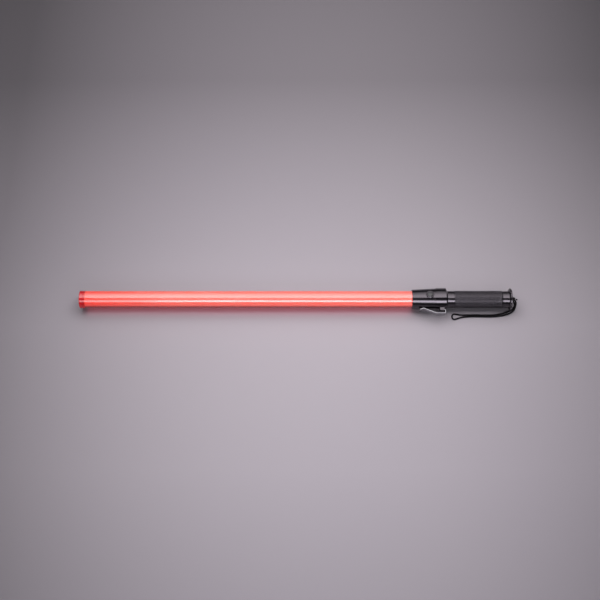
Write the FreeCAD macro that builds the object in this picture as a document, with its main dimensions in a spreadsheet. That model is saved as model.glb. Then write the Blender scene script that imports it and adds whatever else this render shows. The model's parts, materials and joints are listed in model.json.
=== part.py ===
import FreeCAD, Part
import math
import os

import Sketcher

# Traffic baton light: a red light tube on a black grip that holds two C cells.
#
# The baton lies along X with its tip towards -X and its tail towards +X. The origin is on the baton's
# axis at the middle of the textured grip. The switch is on top, at +Z, and the belt clip is at -Y.

V = FreeCAD.Vector

# Driving dimensions in millimetres, as (alias, value, what it is).
DIMENSIONS = [
    ("grip_half", 50, "half the length of the rubber sleeve"),
    ("front_collar", 14, "bare barrel between the sleeve and the ring's lip"),
    ("lip_length", 3, "conical lip behind the joint ring"),
    ("ring_length", 22, "joint ring without its lip"),
    ("cone_length", 48, "cone housing that shows in front of the ring"),
    ("tube_exposed", 674.5, "light tube between the cone housing and the tip cap"),
    ("tube_socket", 20, "light tube inside the cone housing"),
    ("cap_head", 11.5, "tip cap that shows"),
    ("cap_skirt", 12, "tip cap inside the light tube"),
    ("rear_collar", 6.5, "bare barrel behind the sleeve"),
    ("tail_neck", 6.8, "tail cap between the barrel and its flange"),
    ("flange_length", 5.7, "tail cap's flange along the axis"),
    ("tube_radius", 18, "light tube, outside"),
    ("tube_wall", 1.5, "light tube, wall"),
    ("tube_spigot_radius", 17.6, "light tube's turned end inside the cone housing"),
    ("diffuser_wall", 0.5, "diffuser sleeve in the light tube"),
    ("cap_radius", 18.2, "tip cap, outside"),
    ("cone_front_radius", 20.2, "cone housing at the light tube"),
    ("cone_rear_radius", 22.8, "cone housing at the ring"),
    ("cone_bore", 19.2, "cone housing, inside radius"),
    ("spigot_radius", 20.9, "cone housing's spigot inside the ring"),
    ("spigot_length", 12.5, "cone housing's spigot"),
    ("ring_radius", 23.7, "joint ring, outside, the widest turned part"),
    ("ring_bore", 21, "joint ring over the spigot and the barrel's flange"),
    ("lip_bore", 18.1, "joint ring's lip round the barrel"),
    ("collar_radius", 17.7, "barrel in front of the sleeve"),
    ("sleeve_radius", 17.9, "rubber sleeve, outside"),
    ("barrel_radius", 16.3, "barrel under the sleeve"),
    ("barrel_bore", 13.6, "barrel round the cells"),
    ("rear_radius", 17.3, "barrel behind the sleeve, and the tail cap's neck"),
    ("flange_radius", 22.8, "tail cap's flange"),
    ("socket_radius", 15, "threaded mouth of the barrel"),
    ("plug_radius", 14.1, "tail cap's plug under its thread"),
    ("plug_length", 11.5, "tail cap's plug"),
    ("plug_bore", 12.2, "hollow of the tail cap's plug"),
    ("thread_lead", 4, "advance of the tail cap for one turn, two starts"),
    ("thread_height", 0.7, "height of each thread ridge"),
    ("cell_radius", 13.1, "C cell"),
    ("cell_length", 50, "C cell with its nub"),
    ("nub_radius", 3.2, "C cell's positive nub"),
    ("nub_length", 1.7, "C cell's positive nub"),
    ("spring_room", 11.5, "compressed tail spring with its contact cup"),
    ("board_width", 16, "light board"),
    ("board_thickness", 1.6, "both circuit boards"),
    ("board_top", 7.6, "driver board's upper face, above the axis"),
    ("chip_pitch", 42, "spacing of the light chips"),
    ("chip_side", 5, "light chip"),
    ("chip_height", 1.5, "light chip"),
    ("button_radius", 5.65, "switch button"),
    ("button_travel", 1, "switch button's travel"),
    ("bezel_radius", 8.2, "switch bezel"),
    ("button_x", -100.5, "switch button along the baton"),
    ("clip_width", 12, "belt clip strip"),
    ("clip_thickness", 1, "belt clip strip"),
    ("clip_slot_y", 26, "belt clip's leg, from the axis"),
    ("clip_arm_y", 33.8, "belt clip's arm, from the axis"),
    ("clip_bend", 2.2, "corner radius of the belt clip's bend"),
    ("boss_height", 28.3, "belt clip's boss, from the axis"),
    ("boss_width", 16, "belt clip's boss across the strip"),
    ("boss_length", 9, "belt clip's boss along the baton"),
    ("eye_depth", 10.6, "recess in the tail with the strap's bar"),
    ("eye_radius", 9, "recess in the tail"),
    ("bar_radius", 2, "bar that the strap goes round"),
    ("cord_radius", 1.7, "wrist strap's cord"),
    ("knot_radius", 4.6, "knot of the wrist strap"),
]

FIT = 0.1  # clearance between pieces that are pushed together
RUNNING = 0.2  # clearance between pieces that move
CHIPS_PER_SIDE = 16
SPACERS = 4
THREAD_STARTS = 2


class Size:
    """A length that carries the spreadsheet expression that gives it."""

    def __init__(self, value, text):
        self.value = value
        self.text = text

    def _join(self, sign, other, value, swap=False):
        pair = [self.text, as_size(other).text]
        if swap:
            pair.reverse()
        return Size(value, f"({pair[0]} {sign} {pair[1]})")

    def __add__(self, other):
        return self._join("+", other, self.value + as_size(other).value)

    def __radd__(self, other):
        return self + other

    def __sub__(self, other):
        return self._join("-", other, self.value - as_size(other).value)

    def __rsub__(self, other):
        return self._join("-", other, as_size(other).value - self.value, swap=True)

    def __mul__(self, factor):
        return self._join("*", factor, self.value * factor)

    def __rmul__(self, factor):
        return self * factor

    def __truediv__(self, divisor):
        return self._join("/", divisor, self.value / divisor)

    def __neg__(self):
        return Size(-self.value, f"(-1 * {self.text})")


def as_size(length):
    """A plain number as a Size, or a Size unchanged."""
    return length if isinstance(length, Size) else Size(float(length), f"{length:g}")


class Sheet:
    """The driving dimensions, each readable as an attribute that is a Size."""

    def __init__(self, doc):
        sheet = doc.addObject("Spreadsheet::Sheet", "dims")
        for row, (alias, value, meaning) in enumerate(DIMENSIONS, start=1):
            sheet.set(f"A{row}", meaning)
            sheet.set(f"B{row}", f"{value:g}")
            sheet.setAlias(f"B{row}", alias)
            setattr(self, alias, Size(float(value), f"dims.{alias}"))
        doc.recompute()


doc = FreeCAD.newDocument("traffic_baton_light")
d = Sheet(doc)

# Stations along the axis, from the middle of the grip.
collar_x = -d.grip_half - d.front_collar
ring_rear_x = collar_x - d.lip_length
lip_start_x = ring_rear_x - 2.8
ring_front_x = ring_rear_x - d.ring_length
cone_front_x = ring_front_x - d.cone_length
seam_x = cone_front_x - d.tube_exposed
tip_x = seam_x - d.cap_head
tube_end_x = cone_front_x + d.tube_socket
spigot_x = ring_front_x + d.spigot_length
mouth_x = d.grip_half + d.rear_collar
flange_x = mouth_x + d.tail_neck
tail_x = flange_x + d.flange_length
plug_x = mouth_x - d.plug_length
cell_end_x = mouth_x - 2.5 - d.spring_room
cell_start_x = cell_end_x - 2 * d.cell_length

sub_parts = {}


# ---------------------------------------------------------------- helpers


def bind(thing, name, length):
    """Sets a property from a Size through the spreadsheet, or from a plain number."""
    length = as_size(length)
    if "dims." in length.text:
        thing.setExpression(name, length.text)
    else:
        thing.setExpression(name, None)
        holder, _, last = name.rpartition(".")
        if holder == "Placement.Base":
            base = thing.Placement.Base
            setattr(base, last, length.value)
            thing.Placement.Base = base
        else:
            setattr(thing, name, length.value)


def place(thing, x=0, y=0, z=0):
    for name, length in zip("xyz", (x, y, z)):
        bind(thing, f"Placement.Base.{name}", length)
    return thing


def keep(thing):
    """Marks an object as a finished sub-part, named by its Label."""
    sub_parts[thing.Label] = thing
    return thing


def origin_feature(body, role):
    return next(f for f in body.Origin.OriginFeatures if f.Role == role)


def turned(name, outline, axis="X_Axis"):
    """A body turned about X or Z. The outline's points are (along X, radius) or (radius, along Z)."""
    body = doc.addObject("PartDesign::Body", name)
    sketch = body.newObject("Sketcher::SketchObject", f"{name}_outline")
    sketch.AttachmentSupport = [(origin_feature(body, "XZ_Plane"), "")]
    sketch.MapMode = "FlatFace"
    corners = [(as_size(a), as_size(b)) for a, b in outline]
    count = len(corners)
    for index in range(count):
        start, end = corners[index], corners[(index + 1) % count]
        line = Part.LineSegment(V(start[0].value, start[1].value, 0), V(end[0].value, end[1].value, 0))
        sketch.addGeometry(line, False)
    for index in range(count):
        sketch.addConstraint(Sketcher.Constraint("Coincident", index, 2, (index + 1) % count, 1))
        for kind, length in zip(("DistanceX", "DistanceY"), corners[index]):
            datum = Sketcher.Constraint(kind, -1, 1, index, 1, length.value)
            number = sketch.addConstraint(datum)
            if "dims." in length.text:
                sketch.setExpression(f"Constraints[{number}]", length.text)
    revolution = body.newObject("PartDesign::Revolution", f"{name}_turned")
    revolution.Profile = sketch
    revolution.ReferenceAxis = (origin_feature(body, axis), [""])
    revolution.Angle = 360
    doc.recompute()
    return body


def soften(body, radius, rims):
    """Rounds the circular edges of a turned body that have these (station, radius) pairs."""
    names = []
    for number, edge in enumerate(body.Shape.Edges, start=1):
        if not isinstance(edge.Curve, Part.Circle):
            continue
        centre = edge.Curve.Center
        for along, size in rims:
            at_station = min(abs(centre.x - along.value), abs(centre.z - along.value)) < 1e-4
            if at_station and abs(edge.Curve.Radius - size.value) < 1e-4:
                names.append(f"Edge{number}")
    assert len(names) == len(rims), f"{body.Label}: {len(names)} rims found of {len(rims)}"
    base = body.Tip
    fillet = body.newObject("PartDesign::Fillet", f"{body.Label}_rounding")
    fillet.Base = (base, names)
    body.Tip = fillet
    bind(fillet, "Radius", radius)
    doc.recompute()
    return body


def block(name, length, width, height, x=0, y=0, z=0):
    """A box whose middle is at (x, y, z)."""
    box = doc.addObject("Part::Box", name)
    bind(box, "Length", length)
    bind(box, "Width", width)
    bind(box, "Height", height)
    half = [as_size(size) / 2 for size in (length, width, height)]
    return place(box, x - half[0], y - half[1], z - half[2])


TURNS = {
    "X": FreeCAD.Rotation(V(0, 1, 0), 90),
    "Y": FreeCAD.Rotation(V(1, 0, 0), -90),
    "Z": FreeCAD.Rotation(),
}


def rod(name, radius, length, x=0, y=0, z=0, along="Z"):
    """A cylinder that starts at (x, y, z) and runs towards the plus end of an axis."""
    cylinder = doc.addObject("Part::Cylinder", name)
    bind(cylinder, "Radius", radius)
    bind(cylinder, "Height", length)
    cylinder.Placement.Rotation = TURNS[along]
    return place(cylinder, x, y, z)


def o_ring(name, centre_radius, section_radius, x):
    """A seal round the baton's axis."""
    torus = doc.addObject("Part::Torus", name)
    bind(torus, "Radius1", centre_radius)
    bind(torus, "Radius2", section_radius)
    torus.Placement.Rotation = TURNS["X"]
    return place(torus, x)


def fused(name, pieces):
    fusion = doc.addObject("Part::MultiFuse", name)
    fusion.Shapes = pieces
    fusion.Refine = False
    return fusion


def without(name, base, tools):
    """base with the tools cut away."""
    cut = doc.addObject("Part::Cut", name)
    cut.Base = base
    cut.Tool = tools[0] if len(tools) == 1 else fused(f"{name}_cutter", tools)
    return cut


def together(name, pieces):
    """Separate solids that share one node."""
    compound = doc.addObject("Part::Compound", name)
    compound.Links = pieces
    return compound


def from_shape(name, shape):
    feature = doc.addObject("Part::Feature", name)
    feature.Shape = shape
    return feature


def rounded_path(points, share=0.45, radii=None):
    """A wire of straight runs joined by tangent arcs. Returns the wire and the arcs' radii."""
    points = [V(*p) for p in points]
    edges, used, start = [], [], points[0]
    for index in range(1, len(points) - 1):
        before, here, after = points[index - 1 : index + 2]
        inward, outward = (before - here).normalize(), (after - here).normalize()
        half_turn = (math.pi - inward.getAngle(outward)) / 2
        trim = share * min((before - here).Length, (after - here).Length)
        if radii:
            trim = radii[index - 1] * math.tan(half_turn)
        radius = trim / math.tan(half_turn)
        bisector = (inward + outward).normalize()
        centre = here + bisector * (radius / math.cos(half_turn))
        arc_start, arc_end = here + inward * trim, here + outward * trim
        if (arc_start - start).Length > 1e-6:
            edges.append(Part.LineSegment(start, arc_start).toShape())
        edges.append(Part.Arc(arc_start, centre - bisector * radius, arc_end).toShape())
        used.append(radius)
        start = arc_end
    edges.append(Part.LineSegment(start, points[-1]).toShape())
    return Part.Wire(edges), used


def swept_tube(path, radius):
    """A round tube along a wire, with its volume held against section times length."""
    first = path.Edges[0]
    start, heading = first.valueAt(first.FirstParameter), first.tangentAt(first.FirstParameter)
    section = Part.Wire(Part.makeCircle(radius, start, heading))
    tube = path.makePipeShell([section], True, False)
    expected = math.pi * radius**2 * path.Length
    assert abs(tube.Volume - expected) < 0.01 * expected, "a swept tube has the wrong volume"
    return tube


def thread_ridge(root_radius, crest_radius, start_x, length, start_angle):
    """One helical ridge round X. The root is sunk a little into the wall that carries it."""
    sink = 0.25 if crest_radius > root_radius else -0.25
    base, crest = 0.5, 0.28
    helix = Part.makeHelix(d.thread_lead.value, length, root_radius)
    profile = Part.makePolygon(
        [
            V(root_radius - sink, 0, -base),
            V(crest_radius, 0, -crest),
            V(crest_radius, 0, crest),
            V(root_radius - sink, 0, base),
            V(root_radius - sink, 0, -base),
        ]
    )
    ridge = Part.Wire(helix.Edges).makePipeShell([profile], True, True)
    ridge.rotate(V(0, 0, 0), V(0, 0, 1), start_angle)
    ridge.rotate(V(0, 0, 0), V(0, 1, 0), 90)
    ridge.translate(V(start_x, 0, 0))
    return ridge


# ---------------------------------------------------------------- light tube


def build_light_tube():
    inner = d.tube_radius - d.tube_wall
    gasket = 0.6
    keep(
        turned(
            "light_tube",
            [
                (seam_x, inner),
                (tube_end_x - gasket, inner),
                (tube_end_x - gasket, d.tube_spigot_radius),
                (cone_front_x, d.tube_spigot_radius),
                (cone_front_x, d.tube_radius),
                (seam_x, d.tube_radius),
            ],
        )
    )
    keep(
        turned(
            "tube_seal",
            [
                (tube_end_x - gasket, inner),
                (tube_end_x, inner),
                (tube_end_x, d.tube_spigot_radius),
                (tube_end_x - gasket, d.tube_spigot_radius),
            ],
        )
    )
    sleeve_start, sleeve_end = seam_x + d.cap_skirt + 1, tube_end_x - 2
    sleeve = inner - FIT
    sleeve_bore = sleeve - d.diffuser_wall
    keep(
        turned(
            "diffuser_sleeve",
            [
                (sleeve_start, sleeve_bore),
                (sleeve_end, sleeve_bore),
                (sleeve_end, sleeve),
                (sleeve_start, sleeve),
            ],
        )
    )


def build_tip_cap():
    """A clear red cap whose skirt plugs the tube, with a turned groove behind its rim."""
    skirt = d.tube_radius - d.tube_wall - 0.15
    groove_x, groove = seam_x + 5, 1.8
    skirt_end = seam_x + d.cap_skirt
    head_inner, skirt_inner = skirt - 1.4, skirt - 2.9
    rim_x = seam_x - 3.2
    cap = turned(
        "tip_cap",
        [
            (tip_x, 0),
            (tip_x, d.cap_radius),
            (rim_x - 1, d.cap_radius),
            (rim_x - 0.5, d.cap_radius - 0.5),
            (rim_x, d.cap_radius),
            (seam_x, d.cap_radius),
            (seam_x, skirt),
            (groove_x, skirt),
            (groove_x, skirt - 1.5),
            (groove_x + groove, skirt - 1.5),
            (groove_x + groove, skirt),
            (skirt_end, skirt),
            (skirt_end, skirt_inner),
            (seam_x, skirt_inner),
            (seam_x - 2, head_inner),
            (tip_x + 2, head_inner),
            (tip_x + 2, 0),
        ],
    )
    keep(soften(cap, 1.6, [(tip_x, d.cap_radius)]))
    keep(o_ring("tip_cap_seal", skirt - 0.65, 0.75, groove_x + groove / 2))


def build_light_board():
    start, end = seam_x + d.cap_skirt + 3, tube_end_x - 4
    middle, length = (start + end) / 2, end - start
    keep(block("led_board", length, d.board_width, d.board_thickness, middle))
    first = middle - d.chip_pitch * ((CHIPS_PER_SIDE - 1) / 2)
    chips, resistors = [], []
    resistor_height, resistor_offset = 0.6, 8
    for side, face in ((1, "top"), (-1, "under")):
        for number in range(CHIPS_PER_SIDE):
            x = first + d.chip_pitch * number
            z = side * (d.board_thickness + d.chip_height) / 2
            chips.append(block(f"chip_{face}_{number}", d.chip_side, d.chip_side, d.chip_height, x, 0, z))
            z = side * (d.board_thickness + resistor_height) / 2
            name = f"resistor_{face}_{number}"
            resistors.append(block(name, 3.2, 1.6, resistor_height, x + resistor_offset, 0, z))
    keep(together("led_chips", chips))
    keep(together("led_resistors", resistors))
    disc_radius = d.tube_radius - d.tube_wall - d.diffuser_wall - 2 * FIT
    margin, thickness = 9, 3
    gap = (length - 2 * margin) / (SPACERS - 1)
    for number in range(SPACERS):
        name = f"board_spacer_{number + 1}"
        x = start + margin + gap * number
        disc = rod(f"{name}_disc", disc_radius, thickness, x - thickness / 2, along="X")
        slot = block(f"{name}_slot", 5, d.board_width + FIT, d.board_thickness + FIT, x)
        windows = [
            rod(f"{name}_window_{side}", 4.5, 5, x - 2.5, 0, side * 8.4, along="X") for side in (1, -1)
        ]
        keep(without(name, disc, [slot, *windows]))


def build_lead_wires():
    """Two leads from the light board's end up to the driver board."""
    wire_radius = 0.6
    board_end = (tube_end_x - 4).value
    for name, y in (("lead_wire_positive", 4), ("lead_wire_negative", -4)):
        route = [
            (board_end - 5, y, d.board_thickness.value / 2 + wire_radius + 0.05),
            (board_end + 1.5, y, d.board_thickness.value / 2 + wire_radius + 0.25),
            (board_end + 4.5, y * 1.05, 5.6),
            (board_end + 7.5, y * 1.15, 9.3),
            (board_end + 13, y * 1.2, 8.35),
        ]
        path, _ = rounded_path(route)
        keep(from_shape(name, swept_tube(path, wire_radius)))


# ---------------------------------------------------------------- switch housing


def build_cone_housing():
    """The tapered housing: tube socket in front, hollow for the driver, spigot inside the ring."""
    shoulder = d.tube_radius - d.tube_wall - 0.5
    shell = turned(
        "cone_shell",
        [
            (cone_front_x, d.tube_spigot_radius + 0.05),
            (tube_end_x, d.tube_spigot_radius + 0.05),
            (tube_end_x, shoulder),
            (tube_end_x + 2, shoulder),
            (tube_end_x + 2, d.cone_bore),
            (spigot_x, d.cone_bore),
            (spigot_x, d.spigot_radius),
            (ring_front_x, d.spigot_radius),
            (ring_front_x, d.cone_rear_radius),
            (cone_front_x, d.cone_front_radius),
        ],
    )
    soften(shell, 0.6, [(cone_front_x, d.cone_front_radius)])
    hole = rod("button_hole", d.bezel_radius - 1.2 + 0.05, 20, d.button_x, 0, 10)
    seat = rod("bezel_seat", d.bezel_radius + FIT, 10, d.button_x, 0, 21)
    keep(without("cone_housing", shell, [hole, seat]))


def build_switch():
    bezel_top, seat_z, neck_z = 23.2, 21, 17.5
    bore = d.button_radius + RUNNING
    bezel = turned(
        "switch_bezel",
        [
            (bore, neck_z),
            (d.bezel_radius - 1.2, neck_z),
            (d.bezel_radius - 1.2, seat_z),
            (d.bezel_radius, seat_z),
            (d.bezel_radius, bezel_top - 0.9),
            (d.bezel_radius - 0.9, bezel_top),
            (bore + 0.5, bezel_top),
            (bore, bezel_top - 0.6),
        ],
        axis="Z_Axis",
    )
    keep(place(bezel, d.button_x))
    case_height, case_side, plunger_length = 3.4, 6.2, 2.4
    stem_end, crown = d.board_top + 4.7, bezel_top + 0.9
    button = turned(
        "switch_button",
        [
            (0, stem_end),
            (1.8, stem_end),
            (1.8, neck_z - 2.2),
            (d.button_radius + 0.7, neck_z - 2.2),
            (d.button_radius + 0.7, neck_z - 0.5),
            (d.button_radius, neck_z - 0.5),
            (d.button_radius, crown - 1.1),
            (d.button_radius - 0.9, crown - 0.45),
            (d.button_radius * 0.5, crown - 0.1),
            (0, crown),
        ],
        axis="Z_Axis",
    )
    keep(place(button, d.button_x))
    plunger_radius = 1.7
    hollow = d.button_travel + 1.2
    keep(rod("switch_plunger", plunger_radius, plunger_length, d.button_x, 0, stem_end - plunger_length))
    case_middle = d.board_top + case_height / 2
    case = block("switch_case", case_side, case_side, case_height, d.button_x, 0, case_middle)
    well_floor = d.board_top + case_height - hollow
    well = rod("switch_well", plunger_radius + RUNNING, 10, d.button_x, 0, well_floor)
    keep(without("switch_body", case, [well]))


def build_driver():
    """The driver board on the carrier's shelf, with its parts and its two screws."""
    board_top, length, width = d.board_top, 30, 28
    middle_x = ring_front_x - 5.5
    thickness = d.board_thickness
    screw_xs = [middle_x - 12, middle_x + 12]
    board = block("driver_blank", length, width, thickness, middle_x, 0, board_top - thickness / 2)
    holes = [rod(f"driver_hole_{n}", 1.1, 6, x, 0, board_top - 4) for n, x in enumerate(screw_xs)]
    keep(without("driver_board", board, holes))
    chip = block("driver_chip", 5, 6.2, 1.6, middle_x + 5, 7.5, board_top + 0.8)
    coil = block("driver_coil", 6, 6, 3, middle_x + 5, -7.5, board_top + 1.5)
    capacitor = rod("driver_capacitor", 2.5, 6, middle_x - 11, 9, board_top)
    keep(together("driver_parts", [chip, coil, capacitor]))
    screws = []
    for number, x in enumerate(screw_xs):
        head = rod(f"screw_head_{number}", 1.9, 1.2, x, 0, board_top)
        shank = rod(f"screw_shank_{number}", 0.95, 5.2, x, 0, board_top - 4.4)
        cross = [
            block(f"screw_cross_{number}_{turn}", *arms, 1, x, 0, board_top + 1.2)
            for turn, arms in enumerate(((2, 0.5), (0.5, 2)))
        ]
        screws.append(without(f"board_screw_{number}", fused(f"screw_blank_{number}", [head, shank]), cross))
    keep(together("board_screws", screws))
    return screw_xs


def build_carrier(screw_xs):
    """Insulating carrier clamped between spigot and barrel, with the front contact through it."""
    face = spigot_x + FIT
    flange_end = face + 2.4
    rear = cell_start_x - 2.8
    body = turned(
        "carrier_turned",
        [
            (face, 1.55),
            (rear, 1.55),
            (rear, d.barrel_bore - RUNNING),
            (flange_end, d.barrel_bore - RUNNING),
            (flange_end, d.spigot_radius - 0.3),
            (face, d.spigot_radius - 0.3),
        ],
    )
    shelf_start = ring_front_x - 21
    shelf_top = d.board_top - d.board_thickness
    shelf_length = face - shelf_start + 1
    shelf_width, shelf_depth = 22, 3
    shelf_middle = shelf_start + shelf_length / 2
    shelf = block(
        "carrier_shelf", shelf_length, shelf_width, shelf_depth, shelf_middle, 0, shelf_top - shelf_depth / 2
    )
    pilots = [rod(f"carrier_pilot_{n}", 0.95, 8, x, 0, shelf_top - 5) for n, x in enumerate(screw_xs)]
    keep(without("contact_carrier", fused("carrier_body", [body, shelf]), pilots))
    keep(
        turned(
            "front_contact",
            [
                (face - 4, 0),
                (face - 4, 1.5),
                (rear, 1.5),
                (rear, 5),
                (rear + 1.2, 5),
                (cell_start_x - 0.05, 2.6),
                (cell_start_x - 0.05, 0),
            ],
        )
    )
    return flange_end


def build_joint_ring():
    """The union ring, its conical lip and the slotted boss that holds the belt clip."""
    chamfer, boss_setback, slot_wall = 4, 4.1, 0.7
    ring = turned(
        "ring_turned",
        [
            (ring_front_x, d.ring_bore),
            (lip_start_x, d.ring_bore),
            (lip_start_x, d.lip_bore),
            (collar_x, d.lip_bore),
            (collar_x, d.lip_bore + 0.7),
            (ring_rear_x + 0.4, d.ring_radius - 1.6),
            (ring_rear_x, d.ring_radius),
            (ring_front_x + chamfer, d.ring_radius),
            (ring_front_x, d.cone_rear_radius + 0.1),
        ],
    )
    soften(ring, 0.4, [(ring_rear_x, d.ring_radius)])
    boss_x = ring_rear_x - boss_setback - d.boss_length / 2
    foot = d.ring_bore + 0.6
    boss = block(
        "clip_boss", d.boss_length, d.boss_height - foot, d.boss_width, boss_x, -(d.boss_height + foot) / 2
    )
    slot_length = d.boss_length - slot_wall
    slot = block(
        "clip_slot",
        slot_length + 1,
        d.clip_thickness + FIT,
        d.clip_width + FIT,
        boss_x + d.boss_length / 2 - (slot_length - 1) / 2,
        -d.clip_slot_y,
    )
    keep(without("joint_ring", fused("ring_with_boss", [ring, boss]), [slot]))
    return boss_x + d.boss_length / 2


def build_belt_clip(boss_end):
    """A sprung steel strip. Its leg sits in the boss; the arm flexes from the middle of the bend."""
    thickness, width = d.clip_thickness.value, d.clip_width.value
    leg_y, arm_y = -d.clip_slot_y.value, -d.clip_arm_y.value
    bend = d.clip_bend.value
    bend_x, leg_x = boss_end.value - 0.2, boss_end.value - 8
    middle = (leg_y + arm_y) / 2
    nose = V(bend_x + bend, middle, 0)
    quarter = math.sin(math.radians(45)) * bend
    contact_x, contact_y = ring_front_x.value - 25.2, -22.4
    lip_x, lip_y = contact_x - 7.8, contact_y - 3.9
    shoulder_x = ring_front_x.value + 1.5

    def corner(side_y, towards):
        """A quarter turn between the strip's side at side_y and its nose."""
        centre_y = side_y + towards * bend
        side = V(bend_x, side_y, 0)
        return Part.Arc(
            side, V(bend_x + quarter, centre_y - towards * quarter, 0), V(nose.x, centre_y, 0)
        ).toShape()

    leg = Part.LineSegment(V(leg_x, leg_y, 0), V(bend_x, leg_y, 0)).toShape()
    leg_nose = Part.LineSegment(V(nose.x, leg_y - bend, 0), nose).toShape()
    base_path = Part.Wire([leg, corner(leg_y, -1), leg_nose])
    arm_nose = Part.LineSegment(nose, V(nose.x, arm_y + bend, 0)).toShape()
    run, _ = rounded_path(
        [
            (bend_x, arm_y, 0),
            (shoulder_x, arm_y, 0),
            (contact_x, contact_y, 0),
            (lip_x, lip_y, 0),
        ],
        radii=[16, 2.6],
    )
    arm_path = Part.Wire([arm_nose, corner(arm_y, 1), *run.Edges])

    def strip(path, start, heading):
        across = V(0, 0, 1).cross(heading).normalize() * (thickness / 2)
        up = V(0, 0, width / 2)
        corners = [start + across + up, start - across + up, start - across - up, start + across - up]
        section = Part.makePolygon([*corners, corners[0]])
        return path.makePipeShell([section], True, False)

    keep(from_shape("clip_base", strip(base_path, V(leg_x, leg_y, 0), V(1, 0, 0))))
    keep(from_shape("clip_arm", strip(arm_path, nose, V(0, -1, 0))))
    print("belt clip hinge at x", round(nose.x + thickness / 2, 3), "y", round(middle, 3))


# ---------------------------------------------------------------- grip


def build_barrel(barrel_front):
    """The cell barrel: flange in the ring, bare collars, a bed for the sleeve, a threaded mouth."""
    flange_end = lip_start_x - FIT
    groove, groove_width, groove_depth = barrel_front + 1, 1.8, 1.5
    land = d.ring_bore - RUNNING
    barrel = turned(
        "barrel_turned",
        [
            (barrel_front, d.barrel_bore),
            (plug_x - 0.5, d.barrel_bore),
            (plug_x - 0.5, d.socket_radius),
            (mouth_x, d.socket_radius),
            (mouth_x, d.rear_radius),
            (d.grip_half, d.rear_radius),
            (d.grip_half, d.barrel_radius),
            (-d.grip_half, d.barrel_radius),
            (-d.grip_half, d.collar_radius),
            (flange_end, d.collar_radius),
            (flange_end, land),
            (groove + groove_width, land),
            (groove + groove_width, land - groove_depth),
            (groove, land - groove_depth),
            (groove, land),
            (barrel_front, land),
        ],
    )
    strip_bed = block("strip_bed", 140, 5.4, 2, (barrel_front + plug_x) / 2 - 10, 0, -d.barrel_bore + 0.3)
    start_x = plug_x.value + 2
    pitch = d.thread_lead.value / THREAD_STARTS
    root = d.socket_radius.value
    angle = (start_x - male_thread_x() + pitch / 2) / d.thread_lead.value * 360
    ridges = [
        from_shape(
            f"barrel_ridge_{n}",
            thread_ridge(root, root - d.thread_height.value, start_x, 7, angle + 360 / THREAD_STARTS * n),
        )
        for n in range(THREAD_STARTS)
    ]
    keep(fused("grip_barrel", [without("barrel_bedded", barrel, [strip_bed]), *ridges]))
    keep(o_ring("barrel_seal", d.ring_bore - 0.85, 0.8, groove + groove_width / 2))
    bed = d.barrel_radius + 0.05
    keep(
        turned(
            "grip_sleeve",
            [
                (-d.grip_half + 0.1, bed),
                (d.grip_half - 0.1, bed),
                (d.grip_half - 0.1, d.sleeve_radius - 0.5),
                (d.grip_half - 0.6, d.sleeve_radius),
                (-d.grip_half + 0.6, d.sleeve_radius),
                (-d.grip_half + 0.1, d.sleeve_radius - 0.5),
            ],
        )
    )
    z_under, z_top = -d.barrel_bore - 0.5, -d.barrel_bore - 0.1
    run_end = plug_x - 0.7
    strip = block(
        "strip_run",
        run_end - barrel_front - 0.2,
        5,
        0.4,
        (run_end + barrel_front + 0.2) / 2,
        0,
        (z_under + z_top) / 2,
    )
    foot = block("strip_foot", 0.4, 5, 1.9, run_end - 0.2, 0, z_under + 0.95)
    keep(fused("return_strip", [strip, foot]))


def male_thread_x():
    """Where the tail cap's thread starts."""
    return plug_x.value + 1.2


def build_cells():
    for number in (1, 2):
        front = cell_start_x + d.cell_length * (number - 1)
        end = front + d.cell_length
        base = 0.4
        can_front = front + d.nub_length
        can = turned(
            f"battery_{number}",
            [
                (can_front, 0),
                (can_front, d.cell_radius - 2.2),
                (can_front - 0.5, d.cell_radius - 1.8),
                (can_front - 0.5, d.cell_radius - 0.6),
                (can_front + 0.1, d.cell_radius),
                (end - 0.7, d.cell_radius),
                (end - 0.1, d.cell_radius - 0.7),
                (end - 0.1, d.cell_radius - 2.5),
                (end - base, d.cell_radius - 2.5),
                (end - base, 0),
            ],
        )
        keep(can)
        nub = turned(
            f"battery_{number}_nub",
            [
                (front, 0),
                (front, d.nub_radius - 0.6),
                (front + 0.5, d.nub_radius),
                (can_front, d.nub_radius),
                (can_front, 0),
            ],
        )
        plate = rod(f"battery_{number}_plate", d.cell_radius - 2.7, base, end - base, along="X")
        keep(together(f"battery_{number}_poles", [nub, plate]))


# ---------------------------------------------------------------- tail


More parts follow.
